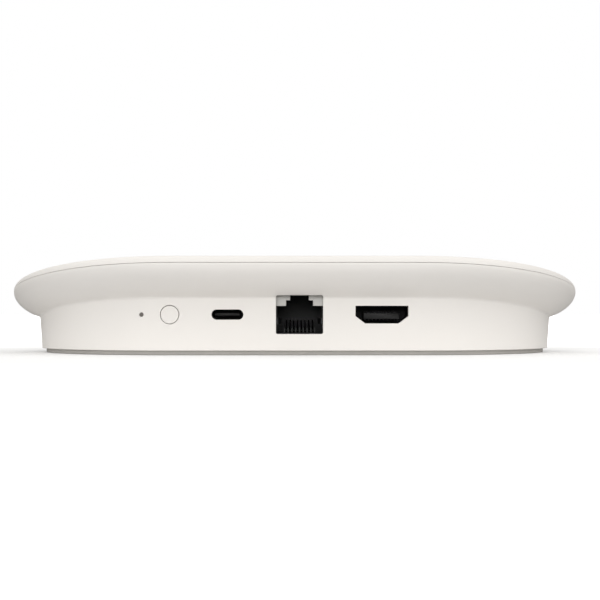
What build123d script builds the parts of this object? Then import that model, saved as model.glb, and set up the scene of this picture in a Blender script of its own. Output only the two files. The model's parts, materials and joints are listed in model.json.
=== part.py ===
from build123d import *
from dataclasses import dataclass
from math import atan2, cos, degrees, hypot, radians, sin, sqrt, tan
import os

# Streaming media player: a tilted oblong dish on a smaller base with a drafted wall.
# Millimetres. Z is up, X runs along the length, the rear wall with the sockets faces +Y.
# Z = 0 is the underside of the foot pad and the Z axis passes through the middle of the plan.

# ---------------------------------------------------------------- driving dimensions
# Dish
dish_length = 162.0
dish_depth = 76.2
dish_tilt = 10.4
dish_edge_height = 16.9         # height of the dish's widest line above the middle of the plan
dish_end_radius = 17.3
end_arc_angle = 20.6            # each tight end arc turns by this much either side of the X axis
top_rise = 3.05                 # widest line to top face, square to the dish
top_round = 2.6                 # how far the top's rounding reaches inward
under_drop = 7.7                # widest line to the dish's underside
under_round = 14.8              # how far the underside's rounding reaches inward
parting_rise = 0.72             # widest line to the joint between cover and housing
parting_gap = 0.12
shell_wall = 1.6
lap_wall = 0.7                  # outer half of the lap joint round the rim

# Base
base_inset = 7.5                # base wall stands inside the dish's edge by this much
base_reference_height = 9.3     # height at which base_inset is measured
wall_draft = 4.0
wall_foot_height = 1.2
crease_radius = 0.8
plate_thickness = 1.8
plate_ledge = 1.2               # how far the ledge over the base plate stands in from the wall
ledge_height = 1.2
plate_gap = 0.15
foot_pad_inset = 1.2
foot_edge = 0.3                 # softened lower edges of the wall and the foot pad

# Board and what it carries
board_thickness = 1.2
board_top_height = 8.0
board_length = 100.0
board_depth = 50.5
board_corner = 2.0
board_edge_gap = 1.0
weight_thickness = 2.0

# Sockets and rear controls: places along X and the common height of their centres
socket_height = 10.9
socket_face_recess = 1.4        # wall surface to the front of each socket
socket_gap = 0.15
light_x = 41.1
button_x = 33.5
usb_x = 18.05
ethernet_x = -1.24
hdmi_x = -23.3

hdmi_width = 14.0
hdmi_height = 4.55
hdmi_chamfer_width = 2.6
hdmi_chamfer_height = 1.95
hdmi_sheet = 0.4
hdmi_length = 11.4
hdmi_tongue_width = 9.8
hdmi_tongue_thickness = 1.9
hdmi_tongue_drop = 0.4
hdmi_tongue_recess = 1.2        # socket's front to the tongue's tip
hdmi_back_length = 3.0
hdmi_contact_pitch = 1.0
hdmi_contact_width = 0.5
hdmi_contact_thickness = 0.15
hdmi_contacts_above = 8
hdmi_contacts_below = 9
usb_width = 8.34
usb_height = 2.56
usb_sheet = 0.32
usb_length = 7.9
usb_tongue_width = 6.7
usb_tongue_thickness = 0.7
usb_tongue_recess = 0.8
usb_back_length = 2.0
usb_contact_pitch = 0.5
usb_contact_width = 0.26
usb_contact_thickness = 0.1
usb_contact_count = 12
contact_tip_recess = 0.7        # tongue's tip to the front ends of the contacts on it
window_margin = 0.08            # wall opening past the socket's own opening, all round
window_edge_radius = 0.15

ethernet_window_width = 12.6
ethernet_window_height = 10.4
ethernet_window_corner = 0.45
ethernet_width = 16.2
ethernet_length = 21.2
ethernet_bottom = 4.4
ethernet_top = 17.4
ethernet_sheet = 0.25
ethernet_mouth_width = 12.0
ethernet_mouth_depth = 14.0
latch_step_width = 7.3
latch_step_height = 1.5
latch_slot_width = 5.07
latch_slot_height = 1.35
contact_pitch = 1.02
contact_count = 8
contact_wire = 0.45
comb_width = 0.36               # ribs between the network socket's wires
comb_height = 1.4
light_block_length = 9.0

button_radius = 2.4
button_ring_gap = 0.15
button_travel = 0.3
button_edge_radius = 0.12
button_flange_radius = 3.4
button_flange_thickness = 0.8
button_stem_length = 0.9
button_plunger_gap = 0.1
plunger_radius = 0.9
plunger_length = 1.9
plunger_reach = 1.3             # how far the plunger stands out of the switch
switch_depth = 3.7
switch_half = 3.1
switch_height = 5.0
switch_sheet = 0.25
light_radius = 0.54
light_hole_gap = 0.05
light_recess = 0.25
light_leg = 1.6

# Fasteners
post_x = 57.0
post_y = 12.5
post_radius = 3.2
post_seat_height = 5.0
case_screw_radius = 1.1
case_head_radius = 1.9
case_head_height = 1.3
case_screw_length = 9.0
board_screw_radius = 0.9
board_head_radius = 1.7
board_head_height = 1.1
standoff_radius = 2.6
thread_gap = 0.05
hole_gap = 0.2

# Heat path above the processor, from the board upward
chip_height = 1.2
chip_pad_thickness = 0.7
shield_sheet = 0.3
shield_gap = 0.1
lid_pad_thickness = 0.8
sink_base = 1.6
fin_thickness = 1.2
fin_count = 11
sink_cover_gap = 1.0
sink_x = 12.0
sink_y = -8.5
sink_length = 68.0
sink_depth = 26.0
sink_screw_inset = 3.0
shield_length = 44.0
shield_depth = 23.0

# Antennas and their leads
antenna_x = 65.0
antenna_length = 8.0
antenna_depth = 16.0
antenna_thickness = 0.8
lead_diameter = 1.13
lead_socket_x = -42.0
lead_socket_near = -7.0
lead_socket_far = -15.0
lead_socket_height = 0.5

MARGIN = 60.0                   # size of tool bodies past the part they cut


# ---------------------------------------------------------------- plan outline
@dataclass(frozen=True)
class Outline:
    """A long plan: two straight sides, four broad corner arcs and two tight end arcs, all tangent."""

    half_length: float
    half_depth: float
    end_radius: float
    end_angle: float = end_arc_angle

    def inset(self, distance):
        return Outline(
            self.half_length - distance,
            self.half_depth - distance,
            self.end_radius - distance,
            self.end_angle,
        )

    @property
    def side_radius(self):
        rise = sin(radians(self.end_angle))
        return (self.half_depth - self.end_radius * rise) / (1 - rise)

    @property
    def end_centre(self):
        return self.half_length - self.end_radius

    @property
    def side_centre(self):
        """Centre of the broad arc that lies where X and Y are positive."""
        reach = self.side_radius - self.end_radius
        turn = radians(self.end_angle)
        return (self.end_centre - reach * cos(turn), -reach * sin(turn))

    def arcs(self):
        """Each arc as its centre, radius, start angle and turn."""
        x, y = self.side_centre
        turn = 90 - self.end_angle
        corners = [(x, y, self.end_angle), (-x, y, 90), (-x, -y, 180 + self.end_angle), (x, -y, 270)]
        broad = [((cx, cy), self.side_radius, start, turn) for cx, cy, start in corners]
        tight = [
            ((side * self.end_centre, 0), self.end_radius, start - self.end_angle, 2 * self.end_angle)
            for side, start in ((1, 0), (-1, 180))
        ]
        return broad + tight

    def face(self):
        x = self.side_centre[0]
        edges = [CenterArc(centre, radius, start, turn) for centre, radius, start, turn in self.arcs()]
        edges += [Line((-x, side * self.half_depth), (x, side * self.half_depth)) for side in (1, -1)]
        return make_face(edges)


def upright(x, y, heading):
    """A plane at X, Y whose own X runs outward along the heading and whose own Y runs up."""
    turn = radians(heading)
    return Plane(origin=(x, y, 0), x_dir=(cos(turn), sin(turn), 0), z_dir=(sin(turn), -cos(turn), 0))


def rim(outline, section):
    """The section carried once round the outline. Its X is measured outward from the outline."""
    pieces = []
    for (x, y), radius, start, turn in outline.arcs():
        face = upright(x, y, start) * Pos(radius, 0) * section
        pieces.append(revolve(face, axis=Axis((x, y, 0), (0, 0, 1)), revolution_arc=turn))
    reach = outline.side_centre[0]
    for side in (1, -1):
        face = upright(-side * reach, side * outline.half_depth, 90 * side) * section
        pieces.append(extrude(face, amount=2 * reach, dir=(side, 0, 0)))
    return pieces


def filled(outline, section, core, bottom, top):
    """A rim closed over its middle by a slab from bottom to top, inside the core's inset."""
    slab = extrude(Pos(0, 0, bottom) * outline.inset(core).face(), amount=top - bottom, dir=(0, 0, 1))
    return slab + rim(outline, section)


# ---------------------------------------------------------------- derived places
tilt = radians(dish_tilt)
draft = tan(radians(wall_draft))
DISH = Plane(origin=(0, 0, dish_edge_height), x_dir=(1, 0, 0), z_dir=(0, -sin(tilt), cos(tilt)))
dish_outline = Outline(dish_length / 2, dish_depth / 2 / cos(tilt), dish_end_radius)
base_outline = Outline(
    dish_length / 2 - base_inset,
    dish_depth / 2 - base_inset,
    dish_end_radius - base_inset,
)
dish_core = (under_round + dish_end_radius) / 2
base_core = shell_wall + plate_ledge + 1.5
plate_top = wall_foot_height + plate_thickness
board_bottom_height = board_top_height - board_thickness


def wall_offset(z):
    """How far the wall's outer face stands outside the base outline at a height."""
    return (z - base_reference_height) * draft


def ellipse_reach(round_length, rise, height):
    """How far inward of the widest line the rounded edge is at a height from it."""
    return round_length * (1 - sqrt(1 - (height / rise) ** 2))


wall_rear = base_outline.half_depth + wall_offset(socket_height)
socket_face = wall_rear - socket_face_recess
pocket_face = socket_face + socket_gap
rim_inset = ellipse_reach(top_round, top_rise, parting_rise)
foot_outline = base_outline.inset(-wall_offset(wall_foot_height))
plate_outline = foot_outline.inset(shell_wall + plate_gap)

soc_pad_bottom = board_top_height + chip_height
lid_bottom = soc_pad_bottom + chip_pad_thickness
lid_top = lid_bottom + shield_sheet
sink_bottom = lid_top + lid_pad_thickness
sink_top = sink_bottom + sink_base
ceiling = top_rise - shell_wall


def wall_rear_at(x):
    """Y of the wall's outer face at the sockets' height and a given X."""
    level = base_outline.inset(-wall_offset(socket_height))
    centre_x, centre_y = level.side_centre
    past = max(abs(x) - centre_x, 0)
    return centre_y + sqrt(level.side_radius**2 - past**2)


# ---------------------------------------------------------------- small helpers
def block(x0, x1, y0, y1, z0, z1):
    """A box between two corners."""
    return Pos((x0 + x1) / 2, (y0 + y1) / 2, (z0 + z1) / 2) * Box(x1 - x0, y1 - y0, z1 - z0)


def slab_at(x, y, length, depth, z0, z1, corner=0.0):
    """An upright block on a rectangle centred at X, Y, its corners rounded if asked."""
    plan = RectangleRounded(length, depth, corner) if corner else Rectangle(length, depth)
    return extrude(Pos(x, y, z0) * plan, amount=z1 - z0)


def drum(x, y, radius, z0, z1):
    """An upright cylinder."""
    return Pos(x, y, (z0 + z1) / 2) * Cylinder(radius, z1 - z0)


def along_y(profile, x, z, y0, y1):
    """A profile drawn as seen from behind the rear wall, carried from y0 to y1."""
    plane = Plane(origin=(x, y0, z), x_dir=(1, 0, 0), z_dir=(0, -1, 0))
    return extrude(plane * profile, amount=y1 - y0, dir=(0, 1, 0))


def rod_y(x, z, radius, y0, y1):
    """A cylinder along Y."""
    return along_y(Circle(radius), x, z, y0, y1)


def grouped(pieces):
    """Separate like pieces kept in one node."""
    return Compound(children=[piece.solid() if hasattr(piece, "solid") else piece for piece in pieces])


def hdmi_profile(grow=0.0):
    """The socket's mouth: a wide top with the two lower corners cut away."""
    half = hdmi_width / 2 + grow
    high = hdmi_height / 2 + grow
    cut_w = hdmi_chamfer_width
    cut_h = hdmi_chamfer_height
    points = [
        (-half, high),
        (half, high),
        (half, cut_h - high),
        (half - cut_w, -high),
        (cut_w - half, -high),
        (-half, cut_h - high),
    ]
    return make_face(Polyline(*points, close=True))


def usb_profile(grow=0.0):
    """A slot with fully round ends."""
    width = usb_width + 2 * grow
    height = usb_height + 2 * grow
    return SlotOverall(width, height)


# ---------------------------------------------------------------- case
def upper_arc(start_height):
    """The rounded edge above the widest line, from a height to the top face."""
    start = degrees(atan2(start_height / top_rise, sqrt(1 - (start_height / top_rise) ** 2)))
    return EllipticalCenterArc((-top_round, 0), top_round, top_rise, start, arc_size=90 - start)


def dish_lower():
    """The dish below its parting joint, solid."""
    under = EllipticalCenterArc((-under_round, 0), under_round, under_drop, 270, arc_size=90)
    end = degrees(atan2(parting_rise / top_rise, sqrt(1 - (parting_rise / top_rise) ** 2)))
    over = EllipticalCenterArc((-top_round, 0), top_round, top_rise, 0, arc_size=end)
    frame = Polyline(
        over @ 1,
        (-dish_core, parting_rise),
        (-dish_core, -under_drop),
        under @ 0,
    )
    section = make_face([under, over, *frame.edges()])
    return DISH.location * filled(dish_outline, section, dish_core, -under_drop, parting_rise)


def dish_hollow():
    """The room inside the dish. Its wall steps back at the widest line, which leaves the cover a ledge."""
    depth = under_drop - shell_wall
    under = EllipticalCenterArc((-under_round, 0), under_round - shell_wall, depth, 270, arc_size=90)
    lip = -(rim_inset + lap_wall)
    top = parting_rise + shell_wall
    frame = Polyline(
        under @ 1,
        (lip, 0),
        (lip, top),
        (-dish_core, top),
        (-dish_core, -depth),
        under @ 0,
    )
    section = make_face([under, *frame.edges()])
    return DISH.location * filled(dish_outline, section, dish_core, -depth, top)


def base_solid(bottom, top):
    """The base's drafted outer form between two heights, solid."""
    section = make_face(
        Polyline(
            (-base_core, bottom),
            (wall_offset(bottom), bottom),
            (wall_offset(top), top),
            (-base_core, top),
            close=True,
        )
    )
    return filled(base_outline, section, base_core, bottom, top)


def base_hollow():
    """The room inside the base wall, narrowed by the ledge that sits on the base plate."""
    top = dish_edge_height + under_drop
    ledge_top = plate_top + ledge_height
    inner = [(wall_offset(z) - shell_wall, z) for z in (0, plate_top, ledge_top, top)]
    section = make_face(
        Polyline(
            (-base_core, 0),
            inner[0],
            inner[1],
            (inner[1][0] - plate_ledge, plate_top),
            (inner[1][0] - plate_ledge, ledge_top),
            inner[2],
            inner[3],
            (-base_core, top),
            close=True,
        )
    )
    return filled(base_outline, section, base_core, 0, top)


def above_dish(height):
    """Everything above a plane parallel to the dish."""
    return DISH.location * Pos(0, 0, height + MARGIN) * Box(4 * MARGIN, 4 * MARGIN, 2 * MARGIN)


def beyond_wall(point):
    """Distance of a point outside the base wall's outer face, measured level."""
    level = base_outline.inset(-wall_offset(point.Z))
    x, y = abs(point.X), abs(point.Y)
    side_x, side_y = level.side_centre
    if x < side_x:
        return y - level.half_depth
    if x > level.end_centre and degrees(atan2(y, x - level.end_centre)) < level.end_angle:
        return hypot(x - level.end_centre, y) - level.end_radius
    return hypot(x - side_x, y - side_y) - level.side_radius


def case_outer():
    """Dish underside and base wall in one, with the crease between them softened."""
    base = base_solid(wall_foot_height, dish_edge_height + under_drop) - above_dish(-crease_radius)
    base = fillet(base.edges().group_by(Axis.Z)[0], foot_edge)
    body = dish_lower() + base
    crease = [edge for edge in body.edges() if is_crease(edge)]
    return fillet(crease, crease_radius)


def is_crease(edge):
    """Whether an edge runs where the base wall meets the dish's underside."""
    middle = edge @ 0.5
    rises = abs((edge % 0.5).Z)
    return middle.Z > wall_foot_height + plate_gap and rises < 0.9 and abs(beyond_wall(middle)) < 0.001


def socket_pockets():
    """Room behind the wall for the three sockets, open downward so that they come in from below."""
    usb_half = usb_width / 2 + usb_sheet + socket_gap
    hdmi_half = hdmi_width / 2 + hdmi_sheet + socket_gap
    ethernet_half = ethernet_width / 2 + socket_gap
    deep = socket_face - ethernet_length
    low = plate_top
    pockets = block(
        ethernet_x - ethernet_half, ethernet_x + ethernet_half,
        deep, pocket_face, low, ethernet_top + socket_gap,
    )
    pockets += block(
        hdmi_x - hdmi_half,
        hdmi_x + hdmi_half,
        deep,
        pocket_face,
        low,
        socket_height + hdmi_height / 2 + hdmi_sheet + socket_gap,
    )
    pockets += block(
        usb_x - usb_half,
        usb_x + usb_half,
        deep,
        pocket_face,
        low,
        socket_height + usb_height / 2 + usb_sheet + socket_gap,
    )
    return pockets


def wall_windows():
    """The openings seen in the rear wall."""
    start = pocket_face - shell_wall
    end = dish_depth / 2 + shell_wall
    mouth = RectangleRounded(ethernet_window_width, ethernet_window_height, ethernet_window_corner)
    windows = along_y(mouth, ethernet_x, socket_height, start, end)
    windows += along_y(hdmi_profile(window_margin), hdmi_x, socket_height, start, end)
    windows += along_y(usb_profile(window_margin), usb_x, socket_height, start, end)
    for x, radius in ((button_x, button_radius + button_ring_gap), (light_x, light_radius + light_hole_gap)):
        windows += rod_y(x, socket_height, radius, wall_rear_at(x) - 2 * shell_wall, end)
    return windows


button_seat = wall_rear_at(button_x) - shell_wall + 0.25
light_seat = wall_rear_at(light_x) - shell_wall + 0.25


def lower_housing(outer):
    """Dish underside and base wall, hollowed, with the socket surrounds and the button's seat."""
    hood_half = ethernet_width / 2 + socket_gap + shell_wall / 2
    hood = block(
        ethernet_x - hood_half,
        ethernet_x + hood_half,
        pocket_face - shell_wall,
        pocket_face + 2 * shell_wall,
        socket_height,
        ethernet_top + socket_gap + shell_wall / 2,
    )
    seat_radius = button_flange_radius + 2 * button_ring_gap
    outer -= wall_windows()
    for x, half_width, half_height in window_places():
        outer = fillet(window_edges(outer, x, half_width, half_height), window_edge_radius)
    body = outer - dish_hollow() - base_hollow()
    body += hood & outer
    body -= socket_pockets()
    body -= rod_y(button_x, socket_height, seat_radius, button_seat - shell_wall, button_seat)
    body -= rod_y(light_x, socket_height, 2 * light_radius + hole_gap, light_seat - shell_wall, light_seat)
    return body


def window_places():
    """Place along X, half width and half height of each opening in the rear wall."""
    button_hole = button_radius + button_ring_gap
    light_hole = light_radius + light_hole_gap
    return [
        (usb_x, usb_width / 2 + window_margin, usb_height / 2 + window_margin),
        (hdmi_x, hdmi_width / 2 + window_margin, hdmi_height / 2 + window_margin),
        (ethernet_x, ethernet_window_width / 2, ethernet_window_height / 2),
        (button_x, button_hole, button_hole),
        (light_x, light_hole, light_hole),
    ]


def window_edges(body, x, half_width, half_height):
    """Edges of one opening that lie on the case's outer skin."""
    reach = thread_gap / 2
    found = []
    for edge in body.edges():
        middle = edge @ 0.5
        beside = abs(middle.X - x) <= half_width + reach
        level = abs(middle.Z - socket_height) <= half_height + reach
        if beside and level and middle.Y > wall_rear_at(x) - socket_face_recess / 2:
            found.append(edge)
    return found


def top_cover():
    """Top skin with a skirt that drops inside the housing's rim and four screw posts."""
    low = parting_rise + parting_gap
    over = upper_arc(low)
    frame = Polyline(
        over @ 1,
        (-dish_core, top_rise),
        (-dish_core, ceiling),
        (-top_round, ceiling),
    )
    inner = EllipticalCenterArc((-top_round, 0), top_round - shell_wall, ceiling, 0, arc_size=90)
    lip = -(rim_inset + lap_wall + plate_gap)
    skirt = Polyline(
        inner @ 0,
        (lip, 0),
        (lip, low),
        over @ 0,
    )
    section = make_face([over, inner, *frame.edges(), *skirt.edges()])
    skin = DISH.location * filled(dish_outline, section, dish_core, ceiling, top_rise)
    for x, y in post_places():
        post = drum(x, y, post_radius, post_seat_height, dish_edge_height + 2 * under_drop)
        skin += post - above_dish(ceiling)
    pilot_top = case_seat_height() + case_screw_length + hole_gap
    for x, y in post_places():
        skin -= drum(x, y, case_screw_radius + thread_gap, post_seat_height, pilot_top)
    return skin


def post_places():
    """Middles of the four case screws."""
    return [(sx * post_x, sy * post_y) for sx in (-1, 1) for sy in (-1, 1)]


def case_seat_height():
    """Where the case screws' heads bear inside the base plate."""
    return plate_top + hole_gap


def sink_screw_places():
    """Middles of the four screws that hold the heat sink and the board."""
    reach_x = sink_length / 2 - sink_screw_inset
    reach_y = sink_depth / 2 - sink_screw_inset
    return [(sink_x + sx * reach_x, sink_y + sy * reach_y) for sx in (-1, 1) for sy in (-1, 1)]


def board_screw_places():
    """Middles of the two screws at the free end of the board."""
    edge = -board_length / 2 + standoff_radius + 2 * board_edge_gap
    return [(edge, side * post_y) for side in (-1, 1)]


def base_plate():
    """Bottom closure with screw seats and board standoffs."""
    body = extrude(Pos(0, 0, wall_foot_height) * plate_outline.face(), amount=plate_thickness)
    seat_radius = case_head_radius + hole_gap
    for x, y in post_places():
        body += drum(x, y, seat_radius + 1.4, plate_top, post_seat_height)
    for x, y in sink_screw_places() + board_screw_places():
        body += drum(x, y, standoff_radius, plate_top, board_bottom_height)
    for x, y in post_places():
        body -= drum(x, y, seat_radius, wall_foot_height, case_seat_height())
        body -= drum(x, y, case_screw_radius + hole_gap, case_seat_height(), post_seat_height)
    for x, y in sink_screw_places() + board_screw_places():
        body -= drum(x, y, board_screw_radius + thread_gap, plate_top, board_bottom_height)
    return body


def foot_pad():
    """Silicone sheet under the base plate, set in from the wall."""
    sheet = extrude(foot_outline.inset(foot_pad_inset).face(), amount=wall_foot_height)
    return fillet(sheet.edges().group_by(Axis.Z)[0], foot_edge)


def weight_plate():
    """Flat steel weight on the base plate, between the standoffs."""
    length = sink_length - 2 * (sink_screw_inset + standoff_radius + board_edge_gap)
    return slab_at(sink_x, sink_y, length, sink_depth, plate_top, plate_top + weight_thickness, board_corner)


# ---------------------------------------------------------------- fasteners
def screw(head_radius, head_height, shank_radius, length):
    """A pan-head screw pointing down, its head's underside at zero, with a six-sided socket."""
    head = drum(0, 0, head_radius, 0, head_height)
    head = fillet(head.edges().group_by(Axis.Z)[-1], head_height / 3)
    socket = extrude(Pos(0, 0, head_height / 2) * RegularPolygon(head_radius / 2, 6), amount=head_height)
    shank = drum(0, 0, shank_radius, -length, 0)
    tip = shank.edges().group_by(Axis.Z)[0]
    shank = chamfer(tip, shank_radius / 3)
    return head + shank - socket


def case_screws():
    """Four screws from below, through the base plate and into the cover's posts."""
    one = Rot(180, 0, 0) * screw(case_head_radius, case_head_height, case_screw_radius, case_screw_length)
    return grouped([Pos(x, y, case_seat_height()) * one for x, y in post_places()])


def sink_screws():
    """Four screws through the heat sink and the board into the standoffs."""
    length = sink_top - plate_top - hole_gap
    one = screw(board_head_radius, board_head_height, board_screw_radius, length)
    return grouped([Pos(x, y, sink_top) * one for x, y in sink_screw_places()])


def board_screws():
    """Two short screws at the free end of the board."""
    length = board_top_height - plate_top - hole_gap
    one = screw(board_head_radius, board_head_height, board_screw_radius, length)
    return grouped([Pos(x, y, board_top_height) * one for x, y in board_screw_places()])


# ---------------------------------------------------------------- board and chips
board_rear = socket_face - 1.4
board_front = board_rear - board_depth


def main_board():
    """Circuit board with a notch for the sunk network socket and clearance holes."""
    middle = (board_rear + board_front) / 2
    body = slab_at(0, middle, board_length, board_depth, board_bottom_height, board_top_height, board_corner)
    limit = base_outline.inset(shell_wall + board_edge_gap - wall_offset(board_bottom_height)).face()
    body &= extrude(Pos(0, 0, board_bottom_height) * limit, amount=board_thickness)
    half = ethernet_width / 2 + hole_gap
    deep = socket_face - ethernet_length - hole_gap
    body -= block(ethernet_x - half, ethernet_x + half, deep, board_rear + 1, 0, board_top_height + 1)
    for x, y in sink_screw_places() + board_screw_places():
        body -= drum(x, y, board_screw_radius + hole_gap, 0, board_top_height + 1)
    return body


def chip(x, y, length, depth, height):
    """A plain package on the board with a small pin-one dimple."""
    body = slab_at(x, y, length, depth, board_top_height, board_top_height + height)
    dimple = drum(x - length / 2 + 1.2, y - depth / 2 + 1.2, 0.4, board_top_height + height - 0.1, MARGIN)
    return body - dimple


def memory_chips():
    """Two memory packages beside the processor."""
    return grouped([chip(sink_x + 2.5, sink_y + side * 5.5, 11.0, 9.0, 1.0) for side in (-1, 1)])


def shield_frame():
    """Stamped fence round the processor and memory."""
    outer = slab_at(sink_x, sink_y, shield_length, shield_depth, board_top_height, lid_bottom, 1.0)
    inner_length = shield_length - 2 * shield_sheet
    inner_depth = shield_depth - 2 * shield_sheet
    inner = slab_at(sink_x, sink_y, inner_length, inner_depth, board_top_height, lid_bottom, 0.7)
    return outer - inner


def shield_lid():
    """Lid that clips over the fence."""
    reach = 2 * (shield_gap + shield_sheet)
    skirt_bottom = board_top_height + shield_sheet
    body = slab_at(
        sink_x, sink_y, shield_length + reach, shield_depth + reach, skirt_bottom, lid_top, 1.0 + reach / 2
    )
    room = 2 * shield_gap
    body -= slab_at(
        sink_x, sink_y, shield_length + room, shield_depth + room, 0, lid_bottom, 1.0 + shield_gap
    )
    return body


def heat_sink():
    """Cast plate with fins that follow the sloping cover, on four hollow legs."""
    body = slab_at(sink_x, sink_y, sink_length, sink_depth, sink_bottom, sink_top, board_corner)
    leg_radius = sink_screw_inset
    fin_span = sink_length - 4 * sink_screw_inset
    pitch = fin_span / (fin_count - 1)
    fins = [
        slab_at(
            sink_x - fin_span / 2 + i * pitch, sink_y,
            fin_thickness, sink_depth - 1.0, sink_bottom, MARGIN / 2,
        )
        for i in range(fin_count)
    ]
    body += [fin - above_dish(ceiling - sink_cover_gap) for fin in fins]
    for x, y in sink_screw_places():
        body += drum(x, y, leg_radius, board_top_height, sink_top)
    for x, y in sink_screw_places():
        body -= drum(x, y, board_screw_radius + hole_gap, board_top_height, sink_top)
        body -= drum(x, y, board_head_radius + hole_gap, sink_top, MARGIN)
    return body


def inductors():
    """Three shielded power inductors along the rear of the board."""
    pieces = []
    for x in (usb_x - 6.0, usb_x, usb_x + 6.0):
        body = slab_at(x, 12.0, 4.2, 4.2, board_top_height, board_top_height + 2.1, 0.8)
        groove = slab_at(x, 12.0, 4.2, 4.2, board_top_height + 0.8, board_top_height + 1.3)
        groove -= slab_at(x, 12.0, 3.8, 3.8, board_top_height + 0.8, board_top_height + 1.3, 0.6)
        pieces.append(body - groove)
    return grouped(pieces)


def capacitors():
    """Small ceramic capacitors in two rows near the sockets."""
    pieces = []
    for column in range(6):
        for row in range(2):
            x = usb_x - 7.0 + column * 3.0
            y = 16.5 + row * 2.2
            pieces.append(slab_at(x, y, 2.0, 1.2, board_top_height, board_top_height + 1.2))
    return grouped(pieces)


def radio_module():
    """Shielded wireless module."""
    body = slab_at(-33.0, -12.0, 12.0, 16.0, board_top_height, board_top_height + 2.0, 0.6)
    rim_groove = slab_at(-33.0, -12.0, 11.0, 15.0, board_top_height + 1.9, board_top_height + 2.0)
    rim_groove -= slab_at(-33.0, -12.0, 10.4, 14.4, board_top_height + 1.9, board_top_height + 2.0)
    return body - rim_groove


# ---------------------------------------------------------------- HDMI socket
def contact_row(x, z, y0, y1, count, pitch, width, thickness):
    """A row of flat contacts side by side along X, with their middles at height z."""
    return [
        block(middle - width / 2, middle + width / 2, y0, y1, z - thickness / 2, z + thickness / 2)
        for middle in (x + (i - (count - 1) / 2) * pitch for i in range(count))
    ]


def hdmi_shell():
    """Folded steel shell."""
    back = socket_face - hdmi_length
    tube = along_y(hdmi_profile(hdmi_sheet), hdmi_x, socket_height, back, socket_face)
    return tube - along_y(hdmi_profile(), hdmi_x, socket_height, back, socket_face)


def hdmi_insulator():
    """Plastic body at the back of the shell, its tongue, and the foot that stands on the board."""
    back = socket_face - hdmi_length
    body = along_y(hdmi_profile(), hdmi_x, socket_height, back, back + hdmi_back_length)
    half = hdmi_tongue_width / 2
    middle = socket_height - hdmi_tongue_drop
    body += block(
        hdmi_x - half,
        hdmi_x + half,
        back + hdmi_back_length,
        socket_face - hdmi_tongue_recess,
        middle - hdmi_tongue_thickness / 2,
        middle + hdmi_tongue_thickness / 2,
    )
    return body


def hdmi_contacts():
    """Flat contacts on both faces of the tongue."""
    middle = socket_height - hdmi_tongue_drop
    y0 = socket_face - hdmi_length + hdmi_back_length
    y1 = socket_face - hdmi_tongue_recess - contact_tip_recess
    pieces = []
    for count, side in ((hdmi_contacts_below, -1), (hdmi_contacts_above, 1)):
        z = middle + side * (hdmi_tongue_thickness + hdmi_contact_thickness) / 2
        pieces += contact_row(
            hdmi_x, z, y0, y1, count, hdmi_contact_pitch, hdmi_contact_width, hdmi_contact_thickness
        )
    return grouped(pieces)


# ---------------------------------------------------------------- USB-C socket
def usb_shell():
    """Drawn steel shell with round ends."""
    back = socket_face - usb_length
    tube = along_y(usb_profile(usb_sheet), usb_x, socket_height, back, socket_face)
    return tube - along_y(usb_profile(), usb_x, socket_height, back, socket_face)


def usb_insulator():
    """Plastic body with the tongue in the middle of the mouth."""
    back = socket_face - usb_length
    body = along_y(usb_profile(), usb_x, socket_height, back, back + usb_back_length)
    half = usb_tongue_width / 2
    body += block(
        usb_x - half,
        usb_x + half,
        back + usb_back_length,
        socket_face - usb_tongue_recess,
        socket_height - usb_tongue_thickness / 2,
        socket_height + usb_tongue_thickness / 2,
    )
    return body


def usb_contacts():
    """A row of contacts on each face of the tongue."""
    y0 = socket_face - usb_length + usb_back_length
    y1 = socket_face - usb_tongue_recess - contact_tip_recess
    pieces = []
    for side in (-1, 1):
        z = socket_height + side * (usb_tongue_thickness + usb_contact_thickness) / 2
        pieces += contact_row(
            usb_x, z, y0, y1, usb_contact_count, usb_contact_pitch, usb_contact_width, usb_contact_thickness
        )
    return grouped(pieces)


def socket_stand():
    """Plastic stands that carry the two small sockets at the right height on the board."""
    usb_half = usb_width / 2 - usb_height / 2
    hdmi_half = hdmi_width / 2 - hdmi_chamfer_width
    usb_low = socket_height - usb_height / 2 - usb_sheet
    hdmi_low = socket_height - hdmi_height / 2 - hdmi_sheet
    rear = board_rear
    usb = block(usb_x - usb_half, usb_x + usb_half, socket_face - usb_length, rear, board_top_height, usb_low)
    hdmi = block(
        hdmi_x - hdmi_half, hdmi_x + hdmi_half, socket_face - hdmi_length, rear, board_top_height, hdmi_low
    )
    return grouped([usb, hdmi])


# ---------------------------------------------------------------- network socket
ethernet_back = socket_face - ethernet_length
mouth_low = socket_height - ethernet_window_height / 2 + hole_gap
latch_low = socket_height + ethernet_window_height / 2 - latch_slot_height - latch_step_height


def ethernet_mouth():
    """Room for the plug: a wide hall with two narrower steps above it for the latch."""
    end = socket_face + 1.0
    start = socket_face - ethernet_mouth_depth
    step_top = latch_low + latch_step_height
    half = ethernet_mouth_width / 2
    room = block(ethernet_x - half, ethernet_x + half, start, end, mouth_low, latch_low)
    half = latch_step_width / 2
    room += block(ethernet_x - half, ethernet_x + half, start, end, latch_low, step_top)
    half = latch_slot_width / 2
    room += block(ethernet_x - half, ethernet_x + half, start, end, step_top, step_top + latch_slot_height)
    return room


def light_block(side, grow=0.0):
    """One stepped light window beside the latch slot."""
    step_top = latch_low + latch_step_height
    outer = ethernet_window_width / 2 + hole_gap
    top = step_top + latch_slot_height + hole_gap
    points = [
        (latch_step_width / 2 - grow, latch_low - grow),
        (outer + grow, latch_low - grow),
        (outer + grow, top + grow),
        (latch_slot_width / 2 - grow, top + grow),
        (latch_slot_width / 2 - grow, step_top - grow),
        (latch_step_width / 2 - grow, step_top - grow),
    ]
    face = make_face(Polyline(*[(side * x, z - socket_height) for x, z in points], close=True))
    return along_y(face, ethernet_x, socket_height, socket_face - light_block_length, socket_face)


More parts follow.
